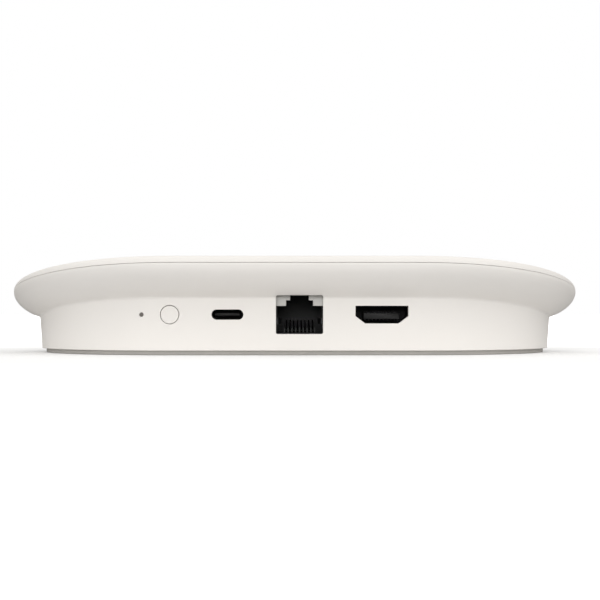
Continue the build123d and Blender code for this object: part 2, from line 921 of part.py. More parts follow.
def ethernet_lights():
    """Left and right light windows of the network socket."""
    return grouped([light_block(side) for side in (-1, 1)])


def ethernet_body():
    """Moulded socket body with the plug's room, the comb between contacts and the light windows' seats."""
    half = ethernet_width / 2 - ethernet_sheet
    front = socket_face - ethernet_sheet
    body = block(
        ethernet_x - half,
        ethernet_x + half,
        ethernet_back + ethernet_sheet,
        front,
        ethernet_bottom + ethernet_sheet,
        ethernet_top - ethernet_sheet,
    )
    body -= ethernet_mouth()
    body -= [light_block(side, thread_gap) for side in (-1, 1)]
    for i in range(contact_count + 1):
        x = ethernet_x + (i - contact_count / 2) * contact_pitch
        half = comb_width / 2
        body += block(x - half, x + half, front - 5.0, front - 1.0, mouth_low, mouth_low + comb_height)
    return body


def ethernet_contacts():
    """Eight sprung wires that rise toward the back of the socket."""
    low = mouth_low + contact_wire / 2
    back = socket_face - ethernet_mouth_depth
    pieces = []
    for i in range(contact_count):
        x = ethernet_x + (i - (contact_count - 1) / 2) * contact_pitch
        path = FilletPolyline(
            (x, back, low),
            (x, socket_face - 2.6, low),
            (x, socket_face - 2.0, low + 0.9),
            (x, back + 2.6, low + 3.2),
            radius=0.4,
        )
        face = Plane(origin=(x, back, low), z_dir=(0, 1, 0)) * Circle(contact_wire / 2)
        pieces.append(sweep(face, path=path))
    return grouped(pieces)


def ethernet_shield():
    """Folded sheet round the socket, with a framed front and two springs inside the mouth."""
    half = ethernet_width / 2
    body = block(
        ethernet_x - half, ethernet_x + half, ethernet_back, socket_face, ethernet_bottom, ethernet_top
    )
    inner = half - ethernet_sheet
    body -= block(
        ethernet_x - inner,
        ethernet_x + inner,
        ethernet_back + ethernet_sheet,
        socket_face - ethernet_sheet,
        ethernet_bottom,
        ethernet_top - ethernet_sheet,
    )
    open_half = ethernet_window_width / 2 + 2 * hole_gap
    open_top = socket_height + ethernet_window_height / 2 + 2 * hole_gap
    body -= block(
        ethernet_x - open_half, ethernet_x + open_half, socket_face - 1, socket_face + 1, mouth_low, open_top
    )
    edge = open_half
    wall = ethernet_mouth_width / 2
    front = socket_face
    sheet = ethernet_sheet
    for side in (-1, 1):
        points = [
            (edge + sheet, front),
            (wall - sheet, front),
            (wall - 1.1, front - 2.4),
            (wall - 0.45, front - 6.0),
            (wall - 0.2, front - 6.0),
            (wall - 0.8, front - 2.4),
            (wall - sheet / 2, front - sheet),
            (edge + sheet, front - sheet),
        ]
        plan = make_face(Polyline(*[(ethernet_x + side * x, y) for x, y in points], close=True))
        body += extrude(Pos(0, 0, socket_height - 2.5) * plan, amount=1.6)
    return body


# ---------------------------------------------------------------- button and status light
stem_end = button_seat - hole_gap - button_flange_thickness - button_stem_length
plunger_end = stem_end - button_plunger_gap
switch_front = plunger_end - plunger_reach
switch_top = board_top_height + switch_height


def button_cap():
    """Round cap that is flush with the drafted wall, held by a flange behind it."""
    flange_front = button_seat - hole_gap
    flange_back = flange_front - button_flange_thickness
    face = rod_y(button_x, socket_height, button_radius, flange_back, dish_depth / 2)
    cap = face & base_solid(wall_foot_height, dish_edge_height)
    cap = fillet(cap.edges().group_by(Axis.Y)[-1], button_edge_radius)
    cap += rod_y(button_x, socket_height, button_flange_radius, flange_back, flange_front)
    cap += rod_y(button_x, socket_height, plunger_radius + 0.3, stem_end, flange_back)
    return cap


def switch_body():
    """Moulded body of the side-acting push switch, with the plunger's well."""
    body = block(
        button_x - switch_half,
        button_x + switch_half,
        switch_front - switch_depth,
        switch_front,
        board_top_height,
        switch_top,
    )
    well_end = plunger_end - plunger_length - 2 * button_travel
    body -= rod_y(button_x, socket_height, plunger_radius + 0.1, well_end, switch_front)
    return body


def switch_plunger():
    """Plunger that the button presses."""
    return rod_y(button_x, socket_height, plunger_radius, plunger_end - plunger_length, plunger_end)


def switch_frame():
    """Thin steel bracket over the switch body."""
    back = switch_front - switch_depth
    body = block(
        button_x - switch_half - switch_sheet,
        button_x + switch_half + switch_sheet,
        back,
        switch_front,
        board_top_height,
        switch_top + switch_sheet,
    )
    body -= block(button_x - switch_half, button_x + switch_half, back, switch_front, 0, switch_top)
    return body


light_leg_y = light_seat - 2 * light_leg


def status_light_pipe():
    """Clear rod from the wall to above the light source, turned down by a slanted face."""
    front = wall_rear_at(light_x) - light_recess
    body = rod_y(light_x, socket_height, light_radius, light_leg_y, front)
    body += rod_y(light_x, socket_height, 2 * light_radius, light_seat - 1.0, light_seat)
    half = light_leg / 2
    low = board_top_height + 1.0
    body += block(
        light_x - half, light_x + half, light_leg_y - half, light_leg_y + half, low, socket_height + half
    )
    wedge = make_face(
        Polyline(
            (light_leg_y - half, socket_height),
            (light_leg_y - half, socket_height + half),
            (light_leg_y, socket_height + half),
            close=True,
        )
    )
    plane = Plane(origin=(light_x - light_leg, 0, 0), x_dir=(0, 1, 0), z_dir=(1, 0, 0))
    return body - extrude(plane * wedge, amount=2 * light_leg)


def status_led():
    """Surface-mounted light source under the rod."""
    return slab_at(light_x, light_leg_y, 1.6, 1.2, board_top_height, board_top_height + 0.7)


# ---------------------------------------------------------------- antennas
antenna_low = ceiling - antenna_thickness


def antenna(side):
    """Small antenna board fixed under the cover near one end, parallel to the top face."""
    plan = Pos(side * antenna_x, 0, antenna_low) * RectangleRounded(antenna_length, antenna_depth, 0.8)
    board = extrude(plan, amount=antenna_thickness)
    slot = Pos(side * antenna_x, 0, antenna_low) * Rectangle(antenna_length / 2, 0.8)
    board -= extrude(Pos(side * antenna_length / 4, 3.0, 0) * slot, amount=antenna_thickness)
    return DISH.location * board


def antenna_foot(side):
    """Point on the underside of an antenna where its lead ends, and the direction away from it."""
    foot = DISH.from_local_coords(Vector(side * (antenna_x - 2.0), -3.0, antenna_low))
    away = DISH.from_local_coords(Vector(side * (antenna_x - 2.0), -3.0, antenna_low - 3.0))
    return foot, away


def lead(points):
    """A round lead through its points, each bend as wide as its two runs allow."""
    points = [Vector(*point) for point in points]
    radii = []
    for before, here, after in zip(points, points[1:], points[2:]):
        run = min((here - before).length, (after - here).length)
        turn = radians((here - before).get_angle(after - here))
        radii.append(0.45 * run / tan(turn / 2))
    path = FilletPolyline(*points, radius=radii)
    print("lead bends, mm:", [round(radius, 1) for radius in radii], "length", round(path.length, 1))
    face = Plane(origin=points[0], z_dir=points[1] - points[0]) * Circle(lead_diameter / 2)
    return sweep(face, path=path)


lead_height = board_top_height + lead_socket_height + lead_diameter / 2


def lead_sockets():
    """Two small coaxial sockets beside the wireless module."""
    top = board_top_height + lead_socket_height
    places = (lead_socket_near, lead_socket_far)
    return grouped([drum(lead_socket_x, y, 1.0, board_top_height, top) for y in places])


def antenna_lead_left():
    """Short lead to the antenna at the -X end."""
    foot, away = antenna_foot(-1)
    start = (lead_socket_x, lead_socket_near, lead_height)
    turn = (lead_socket_x - 10.0, lead_socket_near + 1.0, lead_height)
    return lead([start, turn, tuple(away), tuple(foot)])


def antenna_lead_right():
    """Long lead past the front of the heat sink to the antenna at the +X end."""
    foot, away = antenna_foot(1)
    front = sink_y - sink_depth / 2 - 2.5
    return lead(
        [
            (lead_socket_x, lead_socket_far, lead_height),
            (lead_socket_x + 3.0, front, lead_height),
            (-10.0, front - 0.5, lead_height),
            (22.0, front, lead_height),
            (50.0, front + 1.0, lead_height),
            (65.5, -13.0, lead_height + 2.0),
            tuple(away),
            tuple(foot),
        ]
    )


# ---------------------------------------------------------------- write the nodes
outer_case = case_outer()

nodes = {
    "top_cover": top_cover(),
    "lower_housing": lower_housing(outer_case),
    "base_plate": base_plate(),
    "foot_pad": foot_pad(),
    "case_screws": case_screws(),
    "weight_plate": weight_plate(),
    "main_board": main_board(),
    "board_screws": board_screws(),
    "heat_sink": heat_sink(),
    "sink_screws": sink_screws(),
    "processor": chip(sink_x - 12.0, sink_y, 14.0, 14.0, chip_height),
    "processor_pad": slab_at(sink_x - 12.0, sink_y, 13.0, 13.0, soc_pad_bottom, lid_bottom),
    "memory_chips": memory_chips(),
    "storage_chip": chip(sink_x + 15.0, sink_y, 11.5, 13.0, 1.0),
    "shield_frame": shield_frame(),
    "shield_lid": shield_lid(),
    "lid_pad": slab_at(sink_x - 10.0, sink_y, 18.0, 18.0, lid_top, sink_bottom),
    "power_chip": chip(31.0, 12.0, 6.0, 6.0, 0.9),
    "inductors": inductors(),
    "capacitors": capacitors(),
    "network_transformer": chip(-20.0, 10.5, 13.0, 9.0, 5.0),
    "radio_module": radio_module(),
    "home_radio_chip": chip(-33.0, 4.0, 7.0, 7.0, 0.9),
    "crystal": slab_at(-26.5, 3.5, 3.2, 2.5, board_top_height, board_top_height + 0.8, 0.3),
    "lead_sockets": lead_sockets(),
    "antenna_left": antenna(-1),
    "antenna_right": antenna(1),
    "antenna_lead_left": antenna_lead_left(),
    "antenna_lead_right": antenna_lead_right(),
    "hdmi_shell": hdmi_shell(),
    "hdmi_insulator": hdmi_insulator(),
    "hdmi_contacts": hdmi_contacts(),
    "usb_shell": usb_shell(),
    "usb_insulator": usb_insulator(),
    "usb_contacts": usb_contacts(),
    "socket_stands": socket_stand(),
    "ethernet_body": ethernet_body(),
    "ethernet_shield": ethernet_shield(),
    "ethernet_contacts": ethernet_contacts(),
    "ethernet_lights": ethernet_lights(),
    "button_cap": button_cap(),
    "switch_body": switch_body(),
    "switch_frame": switch_frame(),
    "switch_plunger": switch_plunger(),
    "status_light_pipe": status_light_pipe(),
    "status_led": status_led(),
}

os.makedirs("parts", exist_ok=True)
for name, shape in nodes.items():
    export_step(shape, f"parts/{name}.step")
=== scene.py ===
import json
import logging
import math
from collections.abc import Sequence
from dataclasses import dataclass
from enum import Enum

import bmesh
import bpy
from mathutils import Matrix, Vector


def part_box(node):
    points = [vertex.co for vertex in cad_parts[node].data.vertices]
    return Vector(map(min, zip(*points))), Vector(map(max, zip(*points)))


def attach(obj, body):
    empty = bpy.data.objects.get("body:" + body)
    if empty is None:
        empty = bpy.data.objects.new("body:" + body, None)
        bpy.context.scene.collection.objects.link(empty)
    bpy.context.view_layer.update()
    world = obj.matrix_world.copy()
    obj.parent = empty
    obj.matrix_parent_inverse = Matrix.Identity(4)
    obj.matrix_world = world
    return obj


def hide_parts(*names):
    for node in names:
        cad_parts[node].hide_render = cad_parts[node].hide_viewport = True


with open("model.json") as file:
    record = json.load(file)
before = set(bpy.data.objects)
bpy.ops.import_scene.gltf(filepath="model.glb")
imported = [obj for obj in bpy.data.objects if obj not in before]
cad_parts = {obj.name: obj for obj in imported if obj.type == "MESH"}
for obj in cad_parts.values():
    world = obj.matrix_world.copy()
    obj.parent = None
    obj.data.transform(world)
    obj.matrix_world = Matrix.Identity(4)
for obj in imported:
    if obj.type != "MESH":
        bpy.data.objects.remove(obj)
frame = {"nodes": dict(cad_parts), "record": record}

LOG = logging.getLogger("media_player")
MM = 0.001
ROLL_STEP = 30.0                # degrees from one ring to the next where a sheet's edge is rolled over
Point2 = tuple[float, float]


class Grain(Enum):
    """The direction in which rolling or brushing drew a metal's surface."""

    ALONG_X = (0.05, 1.0, 1.0)
    ALONG_Y = (1.0, 0.05, 1.0)
    NONE = (1.0, 1.0, 1.0)


# ---------------------------------------------------------------- small helpers
def linear(colour: str) -> tuple[float, float, float, float]:
    """Turns an sRGB hex colour into linear light.

    Args:
        colour: six hex digits after a hash sign.

    Returns:
        Red, green, blue and an alpha of one.
    """
    parts = [int(colour[i:i + 2], 16) / 255 for i in (1, 3, 5)]
    red, green, blue = (p / 12.92 if p <= 0.04045 else ((p + 0.055) / 1.055) ** 2.4 for p in parts)
    return red, green, blue, 1.0


def add_node(
    tree: bpy.types.NodeTree, kind: str, inputs: dict | None = None, **settings: object,
) -> bpy.types.Node:
    """Adds one node with its settings and its inputs.

    Args:
        tree: the node tree that gets the node.
        kind: Blender's name for the node's type.
        inputs: input name or number to a value, or to the output that is linked in.
        settings: the node's own properties.

    Returns:
        The new node.
    """
    node = tree.nodes.new(kind)
    for name, value in settings.items():
        setattr(node, name, value)
    for key, value in (inputs or {}).items():
        if isinstance(value, bpy.types.NodeSocket):
            tree.links.new(value, node.inputs[key])
        else:
            node.inputs[key].default_value = value
    return node


def per_metre(size_mm: float) -> float:
    """The texture scale at which one cell of a pattern is this many millimetres wide."""
    return 1.0 / (size_mm * MM)


# ---------------------------------------------------------------- finishes
@dataclass(frozen=True)
class Finish:
    """What every finish shares: a base colour that drifts a little, a varying roughness, and a fine relief.

    Sizes are in millimetres. The drift is wide and faint, the roughness follows it, and the relief is
    the texture of the tool or the process.
    """

    name: str
    slot: str
    colour: str
    drift: str
    roughness: float
    roughness_spread: float = 0.04
    drift_mm: float = 18.0
    relief_mm: float = 0.35
    relief_depth_mm: float = 0.004
    metallic: float = 0.0
    ior: float = 1.5
    grain: Grain = Grain.NONE

    def surface(self, tree: bpy.types.NodeTree) -> dict:
        """Builds the nodes before the shader.

        Args:
            tree: the material's node tree.

        Returns:
            The shader's inputs by name.
        """
        place = add_node(tree, "ShaderNodeTexCoord").outputs["Object"]
        drawn = add_node(tree, "ShaderNodeMapping", {"Vector": place, "Scale": self.grain.value})
        where = drawn.outputs["Vector"]
        cloud = add_node(
            tree, "ShaderNodeTexNoise", {"Vector": place, "Scale": per_metre(self.drift_mm), "Detail": 3.0},
        )
        fine = add_node(
            tree, "ShaderNodeTexNoise", {"Vector": where, "Scale": per_metre(self.relief_mm), "Detail": 2.0},
        )
        tone = add_node(
            tree, "ShaderNodeMix",
            {0: cloud.outputs["Fac"], 6: linear(self.colour), 7: linear(self.drift)},
            data_type="RGBA",
        )
        rough = add_node(
            tree, "ShaderNodeMapRange",
            {"Value": fine.outputs["Fac"], "From Min": 0.3, "From Max": 0.7,
             "To Min": self.roughness - self.roughness_spread,
             "To Max": self.roughness + self.roughness_spread},
        )
        relief = add_node(
            tree, "ShaderNodeBump",
            {"Height": fine.outputs["Fac"], "Distance": self.relief_depth_mm * MM, "Strength": 0.6},
        )
        return {
            "Base Color": tone.outputs[2],
            "Roughness": rough.outputs["Result"],
            "Normal": relief.outputs["Normal"],
            "Metallic": self.metallic,
            "IOR": self.ior,
        }

    def material(self) -> bpy.types.Material:
        """Makes the material once and hands out the same one after that.

        Returns:
            The Blender material.
        """
        made = bpy.data.materials.get(self.name)
        if made is None:
            made = bpy.data.materials.new(self.name)
            made.use_nodes = True
            tree = made.node_tree
            tree.nodes.clear()
            shader = add_node(tree, "ShaderNodeBsdfPrincipled", self.surface(tree))
            add_node(tree, "ShaderNodeOutputMaterial", {"Surface": shader.outputs["BSDF"]})
        return made


# Injection-moulded PC/ABS from a bead-blasted mould. The blasting leaves it matte, so that light falls
# off softly round the rim with no sharp highlight. The warm porcelain white comes from the pigment. The
# blasted grain, about 0.03 mm, is too fine to show, so it is drawn ten times coarser and very shallow.
MOULDED_PORCELAIN = Finish(
    "moulded_pc_abs_porcelain", "porcelain_shell", "#eae7e3", "#e8e4df", 0.58,
    drift_mm=40.0, relief_mm=0.3, relief_depth_mm=0.0012,
)
# The same pigment in a separately moulded cap, whose gate end is a shade warmer.
MOULDED_BUTTON = Finish(
    "moulded_abs_button", "button_plastic", "#eae7e3", "#e7e3dd", 0.54,
    drift_mm=6.0, relief_mm=0.3, relief_depth_mm=0.001,
)
# Compression-moulded silicone rubber. It is dull and slightly dusty, with a soft sheen at a low angle.
MOULDED_SILICONE = Finish(
    "compression_moulded_silicone", "foot_silicone", "#b3b0ab", "#a8a5a0", 0.72,
    roughness_spread=0.06, drift_mm=9.0, relief_mm=0.5, relief_depth_mm=0.01, ior=1.41,
)
# Glass-filled LCP moulded for sockets: black with a greyish bloom where the fibres reach the surface.
MOULDED_BLACK_LCP = Finish(
    "moulded_glass_filled_lcp", "black_plastic", "#070707", "#0e0e0e", 0.56,
    roughness_spread=0.08, drift_mm=2.0, relief_mm=0.12, relief_depth_mm=0.004, ior=1.4,
)
# Stamped stainless sheet under black nickel. The metal still shines, so its lip catches a thin line.
BLACK_NICKEL_STEEL = Finish(
    "stamped_steel_black_nickel", "socket_steel", "#161617", "#1e1e20", 0.42,
    drift_mm=3.0, relief_mm=0.1, relief_depth_mm=0.002, metallic=1.0, grain=Grain.ALONG_Y,
)
# Tin-plated steel sheet, stamped and folded. Rolling leaves faint streaks in a soft grey shine.
TINNED_STEEL = Finish(
    "rolled_tinned_steel", "shield_steel", "#b9b8b4", "#a5a49f", 0.34,
    roughness_spread=0.07, drift_mm=8.0, relief_mm=0.2, relief_depth_mm=0.003, metallic=1.0,
    grain=Grain.ALONG_X,
)
# The same sheet where the network socket's springs and edges face the open mouth, darkened as painted
# shade for the dark inside the mouth, and dull.
MOUTH_SHADED_STEEL = Finish(
    "mouth_shaded_tinned_steel", "shield_steel", "#3c3c3d", "#303031", 0.5,
    roughness_spread=0.07, drift_mm=4.0, relief_mm=0.2, relief_depth_mm=0.003, metallic=1.0,
    grain=Grain.ALONG_X,
)
# Zinc-plated steel plate: a cool grey with cloudy patches where the plating bath left them.
ZINC_PLATE = Finish(
    "zinc_plated_steel_plate", "weight_steel", "#a9adb0", "#8d9193", 0.42,
    roughness_spread=0.1, drift_mm=6.0, relief_mm=0.4, relief_depth_mm=0.004, metallic=1.0,
)
# Cold-headed zinc-plated screws: brighter than the plate because the heads are tumbled.
ZINC_SCREW = Finish(
    "cold_headed_zinc_screw", "screw_steel", "#b4b6b8", "#9a9c9f", 0.3,
    drift_mm=1.2, relief_mm=0.1, relief_depth_mm=0.003, metallic=1.0,
)
# Phosphor bronze strip under a gold flash, which keeps a warm line even inside a dark socket.
GOLD_FLASHED_BRONZE = Finish(
    "gold_flashed_bronze", "contact_gold", "#c9a45a", "#b38d45", 0.26,
    drift_mm=1.5, relief_mm=0.1, relief_depth_mm=0.002, metallic=1.0, grain=Grain.ALONG_Y,
)
# The same strip under plain nickel in the sockets. Its colour is darkened to a shade off black as
# painted shade for the dark inside the black plastic, and only its bends catch a dull grey line.
SHADE_DARKENED_NICKEL_BRONZE = Finish(
    "shade_darkened_nickel_bronze", "contact_nickel", "#242425", "#2e2e2f", 0.4,
    drift_mm=1.0, relief_mm=0.1, relief_depth_mm=0.002, metallic=1.0, grain=Grain.ALONG_Y,
)
# Die-cast aluminium, bare from the die: grey, dull, and mottled by the flow of the metal.
DIE_CAST_ALUMINIUM = Finish(
    "die_cast_aluminium", "sink_aluminium", "#b6b9bb", "#9da0a2", 0.46,
    roughness_spread=0.1, drift_mm=5.0, relief_mm=0.25, relief_depth_mm=0.012, metallic=1.0,
)
# Glass-epoxy laminate under green solder mask, glossy enough for the weave to ripple it.
SOLDER_MASKED_LAMINATE = Finish(
    "solder_masked_laminate", "board_laminate", "#12452f", "#0d3826", 0.32,
    drift_mm=4.0, relief_mm=0.5, relief_depth_mm=0.006, ior=1.55,
)
# Structural plastic of the base plate: plain grey-white with a coarse tool texture.
MOULDED_BASE_PLATE = Finish(
    "moulded_pc_base_plate", "plate_plastic", "#d6d2cc", "#cdc9c2", 0.6,
    drift_mm=25.0, relief_mm=0.4, relief_depth_mm=0.008,
)
# Transfer-moulded epoxy round the chips: charcoal, matte, with a fine sandy grain.
MOULDED_CHIP_EPOXY = Finish(
    "transfer_moulded_epoxy", "chip_resin", "#26272a", "#1e1f22", 0.62,
    drift_mm=3.0, relief_mm=0.15, relief_depth_mm=0.006, ior=1.55,
)
# Pressed and sintered ferrite: dark grey, faintly metallic, with a gritty surface.
SINTERED_FERRITE = Finish(
    "sintered_ferrite", "ferrite", "#45464a", "#38393c", 0.5,
    drift_mm=1.5, relief_mm=0.15, relief_depth_mm=0.01, metallic=0.2,
)
# Fired barium titanate capacitor bodies: tan and slightly waxy.
FIRED_CERAMIC = Finish(
    "fired_ceramic", "ceramic", "#b5946c", "#a5855f", 0.4,
    drift_mm=0.8, relief_mm=0.1, relief_depth_mm=0.003, ior=1.7,
)
# Cast thermal silicone loaded with mineral filler: blue-grey and chalky.
FILLED_THERMAL_SILICONE = Finish(
    "filled_thermal_silicone", "thermal_silicone", "#8fa3b5", "#7f93a5", 0.8,
    drift_mm=2.5, relief_mm=0.2, relief_depth_mm=0.015, ior=1.41,
)
# Moulded polycarbonate light guides with a diffusing filler: pale grey and milky.
DIFFUSING_POLYCARBONATE = Finish(
    "diffusing_polycarbonate", "light_window", "#bdbcb8", "#b2b1ad", 0.36,
    drift_mm=1.5, relief_mm=0.15, relief_depth_mm=0.003, ior=1.585,
)
# Smoked polycarbonate rod, polished at the end, that reads as a dark grey dot when it is off.
SMOKED_POLYCARBONATE = Finish(
    "smoked_polycarbonate", "status_window", "#6f6a65", "#625e59", 0.22,
    drift_mm=0.6, relief_mm=0.1, relief_depth_mm=0.001, ior=1.585,
)
# Extruded fluoropolymer sheath over the braid of the antenna leads: black and waxy.
EXTRUDED_FLUOROPOLYMER = Finish(
    "extruded_fluoropolymer", "lead_sheath", "#232426", "#2c2d2f", 0.42,
    drift_mm=3.0, relief_mm=0.2, relief_depth_mm=0.004, ior=1.38,
)

FINISHES = {
    finish.slot: finish
    for finish in (
        MOULDED_PORCELAIN, MOULDED_BUTTON, MOULDED_SILICONE, MOULDED_BLACK_LCP, BLACK_NICKEL_STEEL,
        TINNED_STEEL, ZINC_PLATE, ZINC_SCREW, GOLD_FLASHED_BRONZE, SHADE_DARKENED_NICKEL_BRONZE, DIE_CAST_ALUMINIUM,
        SOLDER_MASKED_LAMINATE, MOULDED_BASE_PLATE, MOULDED_CHIP_EPOXY, SINTERED_FERRITE, FIRED_CERAMIC,
        FILLED_THERMAL_SILICONE, DIFFUSING_POLYCARBONATE, SMOKED_POLYCARBONATE, EXTRUDED_FLUOROPOLYMER,
    )
}
SLOTS = {part["node"]: part["material_slot"] for part in frame["record"]["subparts"]}


def dress(node: str, finish: Finish | None = None) -> bpy.types.Object:
    """Gives a CAD node its finish in place of the plain colour it came with.

    Args:
        node: the CAD node's name.
        finish: the finish, or None for the one of the node's own slot.

    Returns:
        The node's object.
    """
    piece = frame["nodes"][node]
    chosen = finish or FINISHES[SLOTS[node]]
    piece.data.materials.clear()
    piece.data.materials.append(chosen.material())
    LOG.info("dressed %s in %s", node, chosen.name)
    return piece


# ---------------------------------------------------------------- mesh building
@dataclass(frozen=True)
class Profile:
    """A closed outline across a socket, in millimetres, with its corners rounded.

    The corners run anticlockwise. They are given from the outline's own middle.
    """

    corners: tuple[Point2, ...]
    radius: float
    steps: int = 6

    def grown(self, distance: float) -> "Profile":
        """Moves every side outward by the same distance.

        Args:
            distance: how far, in millimetres; below zero it moves the sides inward.

        Returns:
            The larger or smaller outline.
        """
        moved = []
        for i, here in enumerate(self.corners):
            first = Vector(here) - Vector(self.corners[i - 1])
            second = Vector(self.corners[(i + 1) % len(self.corners)]) - Vector(here)
            one = Vector((first.y, -first.x)).normalized()
            two = Vector((second.y, -second.x)).normalized()
            out = Vector(here) + (one + two) * distance / (1 + one.dot(two))
            moved.append((out.x, out.y))
        return Profile(tuple(moved), max(self.radius + distance, 0.02), self.steps)

    def points(self) -> list[Vector]:
        """Rounds the corners.

        Returns:
            The outline's points, the same number for every size of the same outline.
        """
        found = []
        for i, here in enumerate(self.corners):
            corner = Vector(here)
            before = (Vector(self.corners[i - 1]) - corner).normalized()
            after = (Vector(self.corners[(i + 1) % len(self.corners)]) - corner).normalized()
            half = before.angle(after) / 2
            middle = corner + (before + after).normalized() * self.radius / math.sin(half)
            start = corner + before * self.radius / math.tan(half) - middle
            turn = before.angle_signed(after) < 0
            sweep = math.pi - 2 * half
            for step in range(self.steps + 1):
                angle = sweep * step / self.steps * (-1 if turn else 1)
                spun = Vector((
                    start.x * math.cos(angle) - start.y * math.sin(angle),
                    start.x * math.sin(angle) + start.y * math.cos(angle),
                ))
                found.append(middle + spun)
        return found

    def ring(self, centre: Vector, y: float) -> list[Vector]:
        """Stands the outline up across Y.

        Args:
            centre: the socket's middle, in metres.
            y: where along Y, in metres.

        Returns:
            The outline's points in metres.
        """
        return [Vector((centre.x + p.x * MM, y, centre.z + p.y * MM)) for p in self.points()]


def loft(name: str, rings: Sequence[Sequence[Vector]], hollow: bool) -> bpy.types.Object:
    """Skins a row of rings.

    Args:
        name: the piece's name.
        rings: rings with the same number of points, in metres.
        hollow: True joins the last ring to the first, False closes both ends.

    Returns:
        The new object, not yet dressed.
    """
    skin = bmesh.new()
    loops = [[skin.verts.new(point) for point in ring] for ring in rings]
    pairs = list(zip(loops, loops[1:])) + ([(loops[-1], loops[0])] if hollow else [])
    for one, two in pairs:
        for i in range(len(one)):
            skin.faces.new((one[i - 1], one[i], two[i], two[i - 1]))
    if not hollow:
        skin.faces.new(loops[0])
        skin.faces.new(list(reversed(loops[-1])))
    bmesh.ops.recalc_face_normals(skin, faces=skin.faces)
    mesh = bpy.data.meshes.new(name)
    skin.to_mesh(mesh)
    skin.free()
    mesh.polygons.foreach_set("use_smooth", [True] * len(mesh.polygons))
    mesh.set_sharp_from_angle(angle=math.radians(32))
    piece = bpy.data.objects.new(name, mesh)
    bpy.context.scene.collection.objects.link(piece)
    return piece


def rolled_shell(
    name: str, mouth: Profile, sheet: float, lip: float, low: Vector, high: Vector,
) -> bpy.types.Object:
    """Makes a tube of sheet metal along Y whose front edge is rolled over both inside and outside.

    Args:
        name: the piece's name.
        mouth: outline of the room inside.
        sheet: thickness of the metal, in millimetres.
        lip: how far behind the front the rolling begins, in millimetres.
        low: the shell's lowest corner, in metres.
        high: its highest corner, in metres.

    Returns:
        The new object, not yet dressed.
    """
    centre = (low + high) / 2
    outer = mouth.grown(sheet)
    roll = lip * MM
    flank = high.y - roll
    rings = [outer.ring(centre, low.y), outer.ring(centre, flank)]
    for outline, side, steps in ((outer, -1, (1, 2, 3)), (mouth, 1, (2, 1))):
        for step in steps:
            angle = math.radians(ROLL_STEP * step)
            shift = side * sheet / 2 * (1 - math.cos(angle))
            rings.append(outline.grown(shift).ring(centre, flank + roll * math.sin(angle)))
    rings += [mouth.ring(centre, flank), mouth.ring(centre, low.y)]
    return loft(name, rings, True)


def plug_tongue(
    name: str, blade: Profile, axis: Vector, ends: Point2, edge: float, belly: float,
) -> bpy.types.Object:
    """Makes a plastic tongue whose tip narrows in two steps, so that a plug slides on.

    Args:
        name: the piece's name.
        blade: the tongue's outline, square to its length.
        axis: a point on its middle line, in metres.
        ends: where its root and its tip are along Y, in metres.
        edge: how far the tip narrows on every side, in millimetres.
        belly: the share of that which the first step takes.

    Returns:
        The new object, not yet dressed.
    """
    root, tip = ends
    rings = [
        blade.ring(axis, root),
        blade.ring(axis, tip - edge * MM),
        blade.grown(-belly * edge).ring(axis, tip - 0.3 * edge * MM),
        blade.grown(-edge).ring(axis, tip),
    ]
    return loft(name, rings, False)


def fit(piece: bpy.types.Object, finish: Finish, node: str) -> bpy.types.Object:
    """Dresses a new piece, puts it on the case and lets it stand for its CAD node.

    Args:
        piece: the new piece, already in place.
        finish: its finish.
        node: the CAD node that it stands for.

    Returns:
        The piece.
    """
    piece.data.materials.append(finish.material())
    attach(piece, "case")
    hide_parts(node)
    LOG.info("built %s in %s for %s", piece.name, finish.name, node)
    return piece


# ---------------------------------------------------------------- sub-assemblies
@dataclass
class Case:
    """The dish-shaped top cover, the housing under it, the base plate and the foot pad."""

    nodes: tuple[str, ...] = (
        "top_cover", "lower_housing", "base_plate", "foot_pad", "case_screws", "weight_plate",
    )

    def build(self) -> set[str]:
        """Dresses the case's pieces.

        Returns:
            The names of the nodes that are done.
        """
        for node in self.nodes:
            dress(node)
        return set(self.nodes)


